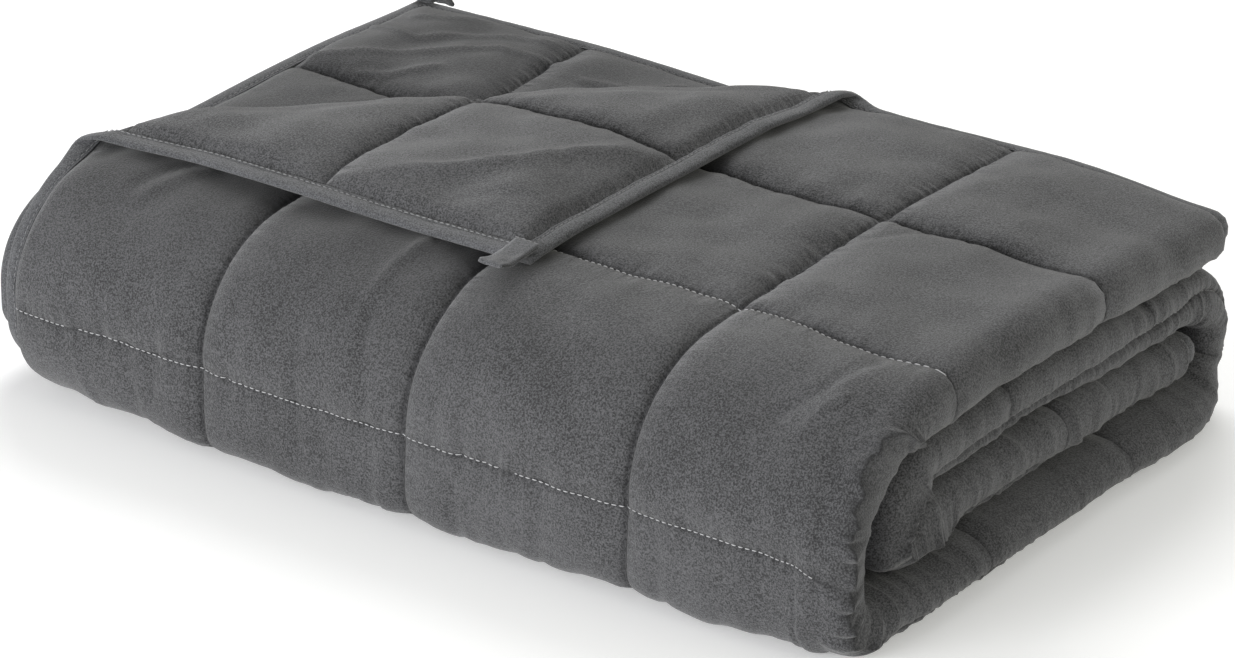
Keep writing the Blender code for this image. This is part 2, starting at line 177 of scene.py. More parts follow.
def turn_back(a, b, h):
    """Fold the corner beyond the slanting crease over onto the blanket."""
    beyond = (CREASE - a - b) / math.sqrt(2)
    edge_distance = np.minimum(a, b) + EDGE
    arc = math.pi * CREASE_RADIUS / 2
    turned = np.clip((beyond + arc) / CREASE_RADIUS, 0.0, math.pi)
    pointed = CREASE_POINT * (1.0 - smooth(edge_distance / 0.040)) * np.sin(turned) ** 4
    along = np.where(beyond >= arc, -beyond, -arc + CREASE_RADIUS * np.sin(turned) + pointed)
    along = np.where(beyond <= -arc, beyond, along)
    sag = np.maximum(FLAP_SAG * (1.0 - edge_distance / FLAP_SAG_REACH), 0.0)
    sag = sag * (1.0 - 0.6 * smooth((b - a - 0.09) / 0.12))
    sag = sag * smooth((beyond - arc) / FLAP_SAG_REACH)
    flatter = CREASE_END_FLATTENING * (1.0 - smooth(edge_distance / 0.045))
    for place, reach, share in CREASE_DIPS:
        flatter = flatter + share * close_to(a - b, place, reach)
    flatter = flatter * (1.0 - smooth((beyond - arc) / 0.055))
    height = CREASE_RADIUS * (1.0 - np.cos(turned)) * (1.0 - flatter) + h * np.cos(turned) - sag
    shift = (beyond - along + h * np.sin(turned)) / math.sqrt(2)
    return a + shift, b + shift, height


def fold_half(a, b, h):
    """Fold the blanket in half on its middle seam."""
    radius = LAYER / 2
    fold = WIDTH / 2 - HALF_FOLD_SHIFT + FOLD_WANDER * np.sin(2 * math.pi * b / FOLD_WANDER_LENGTH)
    arc = math.pi * radius / 2
    past = a - fold
    turned = np.clip((past + arc) / radius, 0.0, math.pi)
    fuller = 1.0 + END_FOLD_FULLNESS * np.sin(2.0 * turned) ** 2
    bulge = BOTTOM_END_BULGE * within(b, 0.465, 0.90, 0.09, 0.08)
    bulge = bulge - BACK_END_DRAW * within(b, 0.86, 1.04, 0.04, 0.06)
    x = fold - arc + ((radius + h) * fuller + bulge) * np.sin(turned)
    x = np.where(past <= -arc, a, np.where(past >= arc, 2 * fold - a, x))
    in_front = within(b, 0.20, 0.58, 0.12, 0.06)
    x = x - LEFT_END_BULGE * in_front * (1.0 - smooth((x + EDGE) / 0.15))
    return x, b, (radius + h) * fuller * np.cos(turned)


def roll_up(x, b, offset):
    """Roll the doubled blanket over into its four bands."""
    y = np.full_like(b, TOP_EDGE_Y)
    z = np.full_like(b, 7 * LAYER)
    heading = np.full_like(b, math.pi)
    left = b + EDGE
    reach_y, drop_z = 0.0, 0.0
    less_at_end = 1.0 - 0.45 * smooth((x - 0.50) / 0.08)
    foot_fill = FOOT_CORNER_FILL * smooth((x - 0.02) / 0.14) * less_at_end
    for place_in_roll, (run, turn, radius) in enumerate(bands_and_bends):
        size = run + turn * (radius + LAYER / 2)
        part = np.minimum(left, size)
        if place_in_roll > 0:
            part = np.maximum(part, 0.0)
        if turn == 0.0:
            y = y + part * np.cos(heading)
            z = z + part * np.sin(heading)
        else:
            middle_y = y - radius * np.sin(heading)
            middle_z = z + radius * np.cos(heading)
            if place_in_roll == FOOT_BEND:
                corner_fill = -foot_fill * np.sin(2.0 * turn * part / size) ** 2
                reach_y, drop_z = corner_fill, corner_fill
            if place_in_roll == INNER_BEND:
                through = turn * part / size
                lower = np.sin(2.0 * through) ** 2 * (through > math.pi / 2)
                reach_y = reach_y - INNER_BEND_REACH * (lower + 0.5 * np.sin(through) ** 2)
                drop_z = drop_z - INNER_BEND_DROP * lower
            heading = heading + turn * part / size
            y = middle_y + radius * np.sin(heading)
            z = middle_z - radius * np.cos(heading)
        left = left - part
    return x, y + offset * np.sin(heading) + reach_y, z - offset * np.cos(heading) + drop_z


def settle(x, y, z):
    """Sink the stack at its rims and lay it flat on the surface."""
    front = FRONT_SINK * smooth((0.030 - y) / 0.120)
    back = BACK_SINK * smooth((y - 0.200) / 0.120)
    corner = FOLD_CORNER_SINK * smooth((x - 0.470) / 0.150) * smooth((y - 0.060) / 0.220)
    z = np.maximum(z * (1.0 - front - back - corner) - FLOOR_BITE, 0.0)
    return x - STACK_CENTRE_X, y - STACK_CENTRE_Y, z


def seam_wander(b):
    """How far the middle seam lies past the end fold, from band to band."""
    downwards = 1.0 - 2.08 * smooth((b - 0.295) / 0.085)
    at_band_2 = smooth((b - 0.88) / 0.16) - smooth((b - 1.28) / 0.10)
    at_front = within(b, 0.33, 0.54, 0.02, 0.03)
    downwards = downwards + 0.16 * at_front * unevenness(b / 0.010, np.zeros_like(b) + 0.5, 83)
    return MIDDLE_SEAM_WANDER * (downwards + 0.72 * at_band_2)


# Ridge and creases of the turned corner, as points (a, b).
FLAP_RIDGE = ((0.011, 0.133), (0.035, 0.087), (0.067, 0.053), (0.099, 0.037), (0.125, 0.018))
FLAP_CREASES = (
    ((0.090, 0.042), (0.078, 0.028), (0.067, 0.012)),
    ((0.018, 0.060), (0.030, 0.044), (0.034, 0.024)),
)
# Ridges of the second layer, as (distance from the open end, b).
SECOND_RIDGES = (
    ((-0.016, 0.095), (-0.012, 0.056), (0.034, 0.064), (0.046, 0.046), (0.080, 0.019), (0.110, 0.012)),
    ((-0.016, 0.124), (0.012, 0.115), (0.034, 0.094), (0.058, 0.071), (0.088, 0.043), (0.128, 0.036)),
    ((0.030, 0.132), (0.052, 0.118), (0.074, 0.092)),
    ((0.010, 0.030), (0.030, 0.022), (0.052, 0.004)),
    ((0.160, 0.052), (0.190, 0.040), (0.215, 0.018)),
)
# Creases of the front and the top face, as depth and points (a, b); a ridge has a negative depth.
FRONT_CREASES = (
    (-0.0016, ((0.253, 0.392), (0.253, 0.374), (0.255, 0.356), (0.261, 0.334))),
    (0.0016, ((0.124, 0.396), (0.121, 0.420), (0.116, 0.447), (0.113, 0.475))),
    (0.0013, ((0.095, 0.450), (0.096, 0.475), (0.100, 0.505))),
    (-0.0012, ((0.051, 0.440), (0.055, 0.465), (0.062, 0.492))),
    (0.0014, ((0.215, 0.405), (0.219, 0.440), (0.222, 0.472))),
    (0.0015, ((0.257, 0.386), (0.263, 0.406), (0.273, 0.432), (0.277, 0.465), (0.275, 0.490))),
    (0.0012, ((0.335, 0.462), (0.339, 0.505))),
    (-0.0012, ((0.378, 0.430), (0.373, 0.452), (0.374, 0.480))),
    (0.0013, ((0.395, 0.440), (0.391, 0.495))),
    (0.0012, ((0.470, 0.455), (0.474, 0.500))),
    (0.0014, ((0.449, 0.276), (0.450, 0.240), (0.446, 0.204))),
    (0.0012, ((0.439, 0.208), (0.465, 0.180), (0.487, 0.148))),
    (0.0016, ((0.525, 0.376), (0.543, 0.350), (0.551, 0.312))),
    (-0.0014, ((0.548, 0.380), (0.560, 0.352))),
    (0.0013, ((0.060, 0.354), (0.069, 0.338), (0.077, 0.322))),
    (-0.0012, ((0.070, 0.360), (0.085, 0.336), (0.092, 0.325))),
)


def soft_line(a, b, line, reach):
    """1 on a line of points (a, b), falling softly to 0 beside it."""
    nearest = np.full_like(a, 1.0)
    for (a0, b0), (a1, b1) in zip(line, line[1:]):
        share = ((a - a0) * (a1 - a0) + (b - b0) * (b1 - b0)) / ((a1 - a0) ** 2 + (b1 - b0) ** 2)
        share = np.clip(share, 0.0, 1.0)
        nearest = np.minimum(nearest, np.hypot(a - a0 - share * (a1 - a0), b - b0 - share * (b1 - b0)))
    return np.exp(-(nearest / reach) ** 2)


def lift(a, b):
    """How far the loose parts stand up from where they would lie flat."""
    flap_depth = (CREASE - a - b) / math.sqrt(2)
    along = (a - b) / math.sqrt(2)
    from_rim = np.minimum(a, b) + EDGE
    flap = smooth((flap_depth - 0.020) / 0.060) * smooth((from_rim - 0.004) / 0.045)
    wave_place = along / 0.115 + 0.25 * unevenness(along / 0.1, flap_depth / 0.1, 3)
    waves = 0.5 + 0.5 * np.sin(2 * math.pi * wave_place)
    raised = 0.0016 * waves + 0.0016 * (0.5 + 0.5 * unevenness(a / 0.06, b / 0.06, 4))
    raised = raised + 0.0040 * soft_line(a, b, FLAP_RIDGE, 0.010)
    raised = raised + 0.0018 * soft_line(a, b, FLAP_RIDGE, 0.0036)
    for crease in FLAP_CREASES:
        raised = raised - 0.0014 * soft_line(a, b, crease, 0.0040)
    on_flap = -flap * raised
    inner_a = 2 * (WIDTH / 2 - HALF_FOLD_SHIFT) - a
    bare_depth = (CREASE - inner_a - b) / math.sqrt(2)
    bare = smooth((bare_depth + 0.010) / 0.040) * (a > WIDTH / 2)
    inside = smooth((np.minimum(WIDTH - a, b) + EDGE - 0.006) / 0.02)
    raised = 0.0009 * unevenness((inner_a - b) / 0.07, bare_depth / 0.024, 6)
    for ridge in SECOND_RIDGES:
        raised = raised + 0.0022 * soft_line(inner_a, b, ridge, 0.0032)
    on_bare = -bare * inside * raised
    on_bare = on_bare - SECOND_CORNER_LIFT * smooth((bare_depth - 0.015) / 0.15) * (a > WIDTH / 2)
    near_open_end = 1.0 - smooth((a + EDGE) / 0.022)
    near_back = 1.0 - smooth((b + EDGE) / 0.022)
    on_rim = -(RIM_CURL * near_open_end + 0.25 * RIM_CURL * near_back) * smooth((a + b - CREASE) / 0.05)
    on_rim = on_rim * smooth((0.585 - a) / 0.03)
    return on_flap + on_bare + on_rim


def lay(a, b, h):
    """Where points of the flat blanket lie in the stack, as an array of (x, y, z)."""
    a, b, h = (np.asarray(value, dtype=float) for value in (a, b, h))
    inside = smooth((np.minimum(np.minimum(a, WIDTH - a), np.minimum(b, LENGTH - b)) - 0.012) / 0.05)
    drift_a = SEAM_DRIFT * unevenness(a / SEAM_DRIFT_LENGTH, b / SEAM_DRIFT_LENGTH, 11) * inside
    drift_b = SEAM_DRIFT * unevenness(a / SEAM_DRIFT_LENGTH, b / SEAM_DRIFT_LENGTH, 12) * inside
    drift_a = drift_a + seam_wander(b) * close_to(a, WIDTH / 2, 0.04)
    drift_b = drift_b - FOOT_SEAM_RISE * close_to(b, 3 * CELL, 0.05) * smooth((0.60 - a) / 0.03)
    drift_b = drift_b + CREST_SEAM_DROP * close_to(b, 2 * CELL, 0.05) * within(a, 0.47, 0.62, 0.09, 0.03)
    drift_b = drift_b - SECOND_EDGE_REACH * (1.0 - smooth((b + EDGE) / 0.25)) * smooth((a - 0.62) / 0.08)
    on_second = smooth((a - 0.80) / 0.10)
    drift_a = drift_a + SECOND_SEAM_SHIFT * on_second * close_to(a, 7 * CELL, 0.06)
    drift_b = drift_b - SECOND_SEAM_SHIFT * on_second * close_to(b, CELL, 0.06)
    a, b = a + drift_a, b + drift_b
    return np.stack(settle(*roll_up(*fold_half(*turn_back(a, b, h + lift(a, b))))), axis=-1)


def rise(distance, reach, power):
    """Rise of a square from its seam: 0 on the seam, 1 where it is full."""
    return 1.0 - (1.0 - np.clip(distance / reach, 0.0, 1.0)) ** power


def free_cloth(a, b, side):
    """1 where a face is open to the air, 0 where it is shut in between two layers."""
    outside = smooth((0.575 - b) / 0.05) + within(b, 0.84, 1.04, 0.03, 0.03)
    end_fold = 1.0 - smooth((np.abs(a - 0.605) - 0.030) / 0.025)
    outer_face = np.maximum(outside * smooth((0.640 - a) / 0.03), end_fold) * (side > 0)
    flap = smooth((CREASE - a - b) / 0.02) * (side < 0)
    inner_a = 2 * (WIDTH / 2 - HALF_FOLD_SHIFT) - a
    bare = smooth((CREASE + 0.03 - inner_a - b) / 0.02) * (a > WIDTH / 2) * (side < 0)
    return np.clip(outer_face + flap + bare, 0.0, 1.0)


def puckers(from_seam, along_seam, seed, pitch):
    """Short folds that the sewing draws across a seam: soft bulges parted by sharper creases."""
    beside = np.abs(from_seam)
    fine = unevenness(along_seam / pitch, from_seam / 0.050 + 40.0, seed)
    broad = unevenness(along_seam / (2.4 * pitch), from_seam / 0.090 + 9.0, seed + 1)
    creases = close_to(fine, 0.0, 0.22) * np.exp(-beside / 0.014)
    bulges = broad * np.exp(-beside / 0.036) + 0.45 * fine * np.exp(-beside / 0.016)
    return (bulges - 0.55 * creases) * smooth(beside / 0.005)


def dip(distance, free):
    """How deep the faces are drawn in beside a seam: 1 on it, 0 where the square is full."""
    broad = 1.0 - rise(distance, CROWN_REACH, 2.2)
    crisp = 0.45 * np.exp(-distance / 0.0021) + 0.55 * (1.0 - rise(distance, CROWN_REACH, 2.8))
    return broad + (crisp - broad) * free


def gathers(from_seam, along_seam, seed, pitch):
    """Overlapping folds that run across a tightly drawn seam, each rising to a sharp drop."""
    place = along_seam / pitch + 0.8 * unevenness(along_seam / 0.07, from_seam / 0.06 + 5.0, seed)
    step = place - np.floor(place)
    fold = np.minimum(step / 0.80, (1.0 - step) / 0.20)
    size = 0.25 + 1.30 * unevenness(np.floor(place) * 7.37 + 0.5, from_seam / 0.045 + 3.0, seed + 1)
    beside = close_to(from_seam, 0.0, 0.034) * smooth(np.abs(from_seam) / 0.006)
    return fold * np.clip(size, 0.0, 1.2) * beside


def crowned_squares(a, b, nearest_column, nearest_row, on_fold, free):
    """Half thickness of the squares, full in the middle and drawn in at their seams."""
    taut = 1.0 - 0.45 * free * within(b, 0.40, 0.70, 0.10, 0.06) * (1.0 - on_fold)
    ease = 0.82 * close_to(a, 0.606, 0.040)
    at_rows = 0.70 * close_to(b, 3 * CELL, 0.05) + 0.45 * close_to(b, 2 * CELL, 0.05)
    taut_row = np.maximum(1.0 - free * (ease + at_rows), 0.15)
    spread = np.where(on_fold, 1.6, 1.0)
    short = np.hypot(taut * dip(nearest_column * spread, free), taut_row * dip(nearest_row, free))
    full = np.clip(1.0 - short, 0.0, 1.0)
    crown = CROWN_HALF + free * (0.0010 + 0.0022 * unevenness(a / 0.058, b / 0.058, 21))
    return SEAM_HALF + (crown - SEAM_HALF) * full


def ridged_bends(half, a, b, side):
    """Where the end fold goes round a bend, its seam stands up as a sharp, scalloped ridge."""
    at_bends = within(b, 0.318, 0.530, 0.03, 0.05) + within(b, 1.27, 1.41, 0.03, 0.04)
    from_fold = a - WIDTH / 2
    ridge_reach = np.where(from_fold < 0.0, 0.0036, 0.0026)
    tuck = b / 0.0100 + 0.9 * unevenness(b / 0.024, np.zeros_like(b) + 0.5, 81)
    tucked = np.where(b < 1.0, 1.05, 0.35) * smooth((0.50 - np.abs(b - 0.92)) / 0.02 + 1.0)
    uneven_tucks = 0.8 + 0.6 * unevenness(b / 0.016, np.zeros_like(b) + 3.5, 82)
    scallop = 0.90 - 0.60 * tucked + tucked * np.abs(np.sin(math.pi * tuck)) * uneven_tucks
    hollow = 0.0016 * close_to(from_fold, 0.0105, 0.006)
    rising = FOLD_RIDGE * scallop * np.exp(-np.abs(from_fold) / ridge_reach)
    ridge = CROWN_HALF - 0.0012 - hollow + rising
    beside_fold = 1.0 - smooth((np.abs(from_fold) - 0.010) / 0.022)
    return half + (ridge - half) * at_bends * (side > 0) * beside_fold


def gathered_end(a, b, from_column):
    """The cloth of the end fold, gathered along its seam and crinkled between the gathers."""
    drawn = within(b, 1.26, 1.64, 0.03, 0.10) + 0.18
    at_back = 1.1 - 0.4 * smooth((b - 1.0) / 0.05)
    drawn = drawn + at_back * within(b, 0.86, 1.27, 0.03, 0.05)
    drawn = drawn + 0.15 * within(b, 0.33, 0.47, 0.03, 0.03)
    patchy = smooth(0.55 + 1.3 * unevenness(b / 0.065, a / 0.12, 36))
    drawn = drawn * patchy * smooth((from_column + 0.034) / 0.024)
    slant = from_column * (0.35 + 0.45 * np.sin(b / 0.045))
    on_end = drawn * END_GATHERS * gathers(from_column, b + slant, 33, 0.023)
    wrinkle = unevenness((b + 1.4 * slant) / 0.024, from_column / 0.060 + 2.0, 37)
    crinkle = np.clip(1.0 - np.abs(wrinkle) / 0.16, 0.0, 1.0)
    on_end = on_end + END_CRINKLES * crinkle * smooth((from_column + 0.030) / 0.024)
    return on_end + (0.0010 + 0.0022 * drawn) * puckers(from_column, b + slant, 30, 0.024)


def loose_cloth(a, b):
    """Soft humps and lengthwise streaks of the cloth inside a square."""
    streak = unevenness(a / 0.019, b / 0.11, 61)
    sharp = close_to(streak, 0.0, 0.16) * smooth(0.3 + unevenness(a / 0.06, b / 0.07, 63))
    streak = 0.7 * streak - sharp
    humps = unevenness(a / 0.030, b / 0.030, 62)
    return 0.0013 * humps + 0.0018 * streak * within(b, 0.36, 0.57, 0.07, 0.04)


FOLD_RIDGE = 0.0062
END_GATHERS = 0.0042
END_CRINKLES = 0.0010
SEAM_PUCKERS = 0.0019
INNER_BEND_START = 1.2901 - EDGE
INNER_BEND_RUN = 0.0848


def half_thickness(a, b, side, creased=False):
    """Distance of a face from the middle of the blanket, with its crowns and puckers."""
    column = np.clip(np.round(a / CELL), 1, COLUMNS - 1)
    row = np.clip(np.round(b / CELL), 1, ROWS - 1)
    from_column, from_row = a - column * CELL, b - row * CELL
    nearest_column = np.minimum(np.abs(from_column), np.minimum(a, WIDTH - a))
    nearest_row = np.minimum(np.abs(from_row), np.minimum(b, LENGTH - b))
    on_fold = column == COLUMNS // 2
    free = free_cloth(a, b, side)
    half = crowned_squares(a, b, nearest_column, nearest_row, on_fold, free)
    half = ridged_bends(half, a, b, side)
    across_rows = puckers(from_row, a, 50, 0.015)
    beside_seams = SEAM_PUCKERS * (puckers(from_column, b, 35, 0.015) + across_rows)
    fold = np.where(on_fold, gathered_end(a, b, from_column) + 0.0013 * across_rows, beside_seams)
    half = half + free * (fold + loose_cloth(a, b) * smooth(nearest_column / 0.02))
    if creased:
        troughs = sum(1.35 * depth * soft_line(a, b, line, 0.0034) for depth, line in FRONT_CREASES)
        half = half - free * (side > 0) * troughs
    rim = np.minimum(np.minimum(a, WIDTH - a), np.minimum(b, LENGTH - b))
    inward = smooth((rim - 0.0010) / 0.0075)
    half = RIM_HALF + (np.maximum(half, 0.0009) - RIM_HALF) * inward
    beside_crease = np.abs(CREASE - a - b) / math.sqrt(2) - math.pi * CREASE_RADIUS / 2
    at_crease = 1.0 - smooth(beside_crease / 0.02)
    outside = np.maximum(np.maximum(INNER_BEND_START - b, b - INNER_BEND_START - INNER_BEND_RUN), 0.0)
    at_bend = (1.0 - smooth(outside / 0.02)) * (1.0 - free)
    return half * (1.0 - 0.30 * at_crease) * (1.0 - 0.34 * at_bend)


CELL_STEPS = 10
COARSE = CELL / CELL_STEPS
SLOT_DEPTH = EDGE - 0.0011 - 0.0008  # how far the rim reaches into the binding
RIM_LINE = 0.003


def mesh_lines(squares, size):
    """Places of the mesh lines across some squares, with one more line close to each rim."""
    inner = np.arange(1, CELL_STEPS * squares) * COARSE
    return np.concatenate(([-SLOT_DEPTH, RIM_LINE], inner, [size - RIM_LINE, size + SLOT_DEPTH]))


lines_a, lines_b = mesh_lines(COLUMNS, WIDTH), mesh_lines(ROWS, LENGTH)
panel = bmesh.new()
sheets = {}
for side in (1, -1):
    sheets[side] = [[panel.verts.new((a, b, side)) for b in lines_b] for a in lines_a]
for side, grid in sheets.items():
    for i in range(len(lines_a) - 1):
        for j in range(len(lines_b) - 1):
            corners = (grid[i][j], grid[i + 1][j], grid[i + 1][j + 1], grid[i][j + 1])
            panel.faces.new(corners if side > 0 else corners[::-1])
last_a, last_b = len(lines_a) - 1, len(lines_b) - 1
outline = [(i, 0) for i in range(last_a)] + [(last_a, j) for j in range(last_b)]
outline += [(i, last_b) for i in range(last_a, 0, -1)] + [(0, j) for j in range(last_b, 0, -1)]
for (i, j), (k, m) in zip(outline, outline[1:] + outline[:1]):
    panel.faces.new((sheets[-1][i][j], sheets[-1][k][m], sheets[1][k][m], sheets[1][i][j]))


def refine(wanted):
    """Halve the faces whose middle (a, b, side) is wanted."""
    edges = set()
    for face in panel.faces:
        middle = face.calc_center_median()
        if abs(middle.z) > 0.9 and wanted(middle.x, middle.y, middle.z):
            edges.update(face.edges)
    bmesh.ops.subdivide_edges(panel, edges=list(edges), cuts=1, use_grid_fill=True)


def rather_fine(a, b, side):
    """The bends, the edges and all that shows."""
    near_edge = min(a, b, WIDTH - a, LENGTH - b) < 0.02
    outer = side > 0 and ((a < 0.66 and (b < 0.575 or 0.84 < b < 1.05)) or 0.545 < a < 0.665)
    flap = side < 0 and a + b < CREASE + 0.05
    bare = side < 0 and (WIDTH - a) + b < CREASE + 0.05
    inner_fold = 0.565 < a < 0.635
    return near_edge or outer or flap or bare or inner_fold


def fine(a, b, side):
    """All that shows from above, the front and the end fold."""
    near_crease = min(a, b) < 0.02 and abs(a + b - CREASE) < 0.06
    outer = side > 0 and ((a < 0.64 and b < 0.545) or 0.560 < a < 0.645)
    flap = side < 0 and a + b < CREASE + 0.03
    bare = side < 0 and (WIDTH - a) + b < CREASE + 0.03
    return near_crease or outer or flap or bare


def very_fine(a, b, side):
    """The drawn-in cloth of the end fold."""
    drawn_in = 0.29 < b < 0.62 or 0.88 < b < 1.06 or 1.27 < b < 1.64
    return side > 0 and 0.562 < a < 0.642 and drawn_in


refine(rather_fine)
refine(fine)
refine(very_fine)
for axis in (0, 1):
    across_seam = []
    for edge in panel.edges:
        one, other = (vert.co for vert in edge.verts)
        apart, aside = abs(one[axis] - other[axis]), abs(one[1 - axis] - other[1 - axis])
        nearest_seam = min(abs(end[axis] / CELL - round(end[axis] / CELL)) for end in (one, other)) * CELL
        if 0.0 < apart < 0.0041 and aside < 0.0001 and nearest_seam < 0.0001:
            across_seam.append(edge)
    bmesh.ops.subdivide_edges(panel, edges=across_seam, cuts=2, use_grid_fill=True)
bmesh.ops.triangulate(panel, faces=[face for face in panel.faces if len(face.verts) > 4])
quilt_mesh = bpy.data.meshes.new("quilted_panel")
# Folding turns the flat layout into its mirror image, so its faces are turned round here.
bmesh.ops.reverse_faces(panel, faces=panel.faces[:])
panel.to_mesh(quilt_mesh)
panel.free()
flat = np.empty(len(quilt_mesh.vertices) * 3)
quilt_mesh.vertices.foreach_get("co", flat)
flat = flat.reshape(-1, 3)
thick = half_thickness(flat[:, 0], flat[:, 1], flat[:, 2], creased=True)
folded = lay(flat[:, 0], flat[:, 1], flat[:, 2] * thick)
map_layer = quilt_mesh.uv_layers.new(name="cloth")
corner_verts = np.empty(len(quilt_mesh.loops), dtype=int)
quilt_mesh.loops.foreach_get("vertex_index", corner_verts)
back_face = flat[corner_verts, 2] < 0
cloth_map = np.stack((flat[corner_verts, 0] + 14 * CELL * back_face, flat[corner_verts, 1]), axis=-1)
map_layer.uv.foreach_set("vector", cloth_map.ravel().astype(np.float32))
# Painted shade, kept in the point attribute "seam": dark seam hollows where shade falls, a darker covered
# part of the second layer, and a painted shadow on the cloth beside and under the flap.
to_seam = np.minimum(np.abs(flat[:, 0] / CELL - np.round(flat[:, 0] / CELL)),
                     np.abs(flat[:, 1] / CELL - np.round(flat[:, 1] / CELL))) * CELL
painted_shade_layer = quilt_mesh.attributes.new("seam", "FLOAT", "POINT")
# Painted shade on the second layer, stronger towards its corner.
painted_second_layer_shade = (WIDTH - flat[:, 0] + flat[:, 1] < CREASE + 0.02) & (flat[:, 2] < 0)
painted_second_layer_shade = painted_second_layer_shade * (0.26 + 0.30 * smooth((flat[:, 0] - flat[:, 1] - 0.86) / 0.25))
# Painted shadow on the top face beside and under the front and side edges of the flap.
flap_edge = CREASE + EDGE
from_front = np.maximum(flat[:, 1] - flap_edge - 0.002, 0.0)
from_side = np.maximum(flat[:, 0] - flap_edge - 0.001, 0.0)
painted_shadow_front = 0.95 * np.exp(-from_front / 0.022) * smooth((flap_edge + 0.012 - flat[:, 0]) / 0.02)
painted_shadow_side = 0.85 * np.exp(-from_side / 0.010) * smooth((flap_edge + 0.012 - flat[:, 1]) / 0.02)
painted_flap_shadow = np.maximum(painted_shadow_front, painted_shadow_side) * (flat[:, 2] > 0) * (flat[:, 0] + flat[:, 1] > CREASE)
# Painted shade in the seam hollows, within a few millimetres of each seam, joined with the painted shade
# and shadow above.
shade = np.maximum(0.55 * np.exp(-to_seam / 0.0014), np.maximum(painted_second_layer_shade, painted_flap_shadow))
painted_shade_layer.data.foreach_set("value", shade.astype(np.float32))
quilt_mesh.vertices.foreach_set("co", folded.ravel())
quilt_mesh.update()
quilt_mesh.shade_smooth()
quilt = bpy.data.objects.new("quilted_panel", quilt_mesh)
bpy.context.scene.collection.objects.link(quilt)


def nap_group():
    """Brushed nap: a mask of lighter fibre tips and the height of the nap."""
    group = bpy.data.node_groups.new("brushed_nap", "ShaderNodeTree")
    group.interface.new_socket("Grain", in_out="INPUT", socket_type="NodeSocketFloat")
    group.interface.new_socket("Tips", in_out="OUTPUT", socket_type="NodeSocketFloat")
    group.interface.new_socket("Height", in_out="OUTPUT", socket_type="NodeSocketFloat")
    nodes, links = group.nodes, group.links
    entry, exit_ = nodes.new("NodeGroupInput"), nodes.new("NodeGroupOutput")
    place = nodes.new("ShaderNodeTexCoord")
    fine = nodes.new("ShaderNodeTexNoise")
    fine.inputs["Detail"].default_value = 2.0
    fine.inputs["Roughness"].default_value = 0.65
    links.new(entry.outputs["Grain"], fine.inputs["Scale"])
    clouds = nodes.new("ShaderNodeTexNoise")
    clouds.inputs["Scale"].default_value = 11.0
    clouds.inputs["Detail"].default_value = 5.0
    clouds.inputs["Roughness"].default_value = 0.6
    for noise in (fine, clouds):
        links.new(place.outputs["Object"], noise.inputs["Vector"])
    tips = nodes.new("ShaderNodeMapRange")
    tips.inputs["From Min"].default_value = 0.37
    tips.inputs["From Max"].default_value = 0.64
    links.new(fine.outputs["Fac"], tips.inputs["Value"])
    drift = nodes.new("ShaderNodeMapRange")
    drift.inputs["From Min"].default_value = 0.3
    drift.inputs["From Max"].default_value = 0.7
    drift.inputs["To Min"].default_value = -0.20
    drift.inputs["To Max"].default_value = 0.20
    links.new(clouds.outputs["Fac"], drift.inputs["Value"])
    total = nodes.new("ShaderNodeMath")
    total.operation = "ADD"
    links.new(tips.outputs["Result"], total.inputs[0])
    links.new(drift.outputs["Result"], total.inputs[1])
    links.new(total.outputs["Value"], exit_.inputs["Tips"])
    links.new(fine.outputs["Fac"], exit_.inputs["Height"])
    return group


nap = nap_group()


def brushed_cloth(material, base, light, grain):
    """Give a material the brushed nap in its two tones. Returns its nodes for more."""
    nodes, links = material.node_tree.nodes, material.node_tree.links
    shader = nodes["Principled BSDF"]
    brushed = nodes.new("ShaderNodeGroup")
    brushed.node_tree = nap
    brushed.inputs["Grain"].default_value = grain
    colour = nodes.new("ShaderNodeMix")
    colour.data_type = "RGBA"
    colour.inputs["A"].default_value = base
    colour.inputs["B"].default_value = light
    links.new(brushed.outputs["Tips"], colour.inputs["Factor"])
    links.new(colour.outputs["Result"], shader.inputs["Base Color"])
    bump = nodes.new("ShaderNodeBump")
    bump.inputs["Strength"].default_value = 0.6
    bump.inputs["Distance"].default_value = 0.0008
    links.new(brushed.outputs["Height"], bump.inputs["Height"])
    links.new(bump.outputs["Normal"], shader.inputs["Normal"])
    shader.inputs["Roughness"].default_value = 0.9
    shader.inputs["Specular IOR Level"].default_value = 0.2
    shader.inputs["Sheen Weight"].default_value = 0.22
    shader.inputs["Sheen Roughness"].default_value = 0.5
    return colour, bump


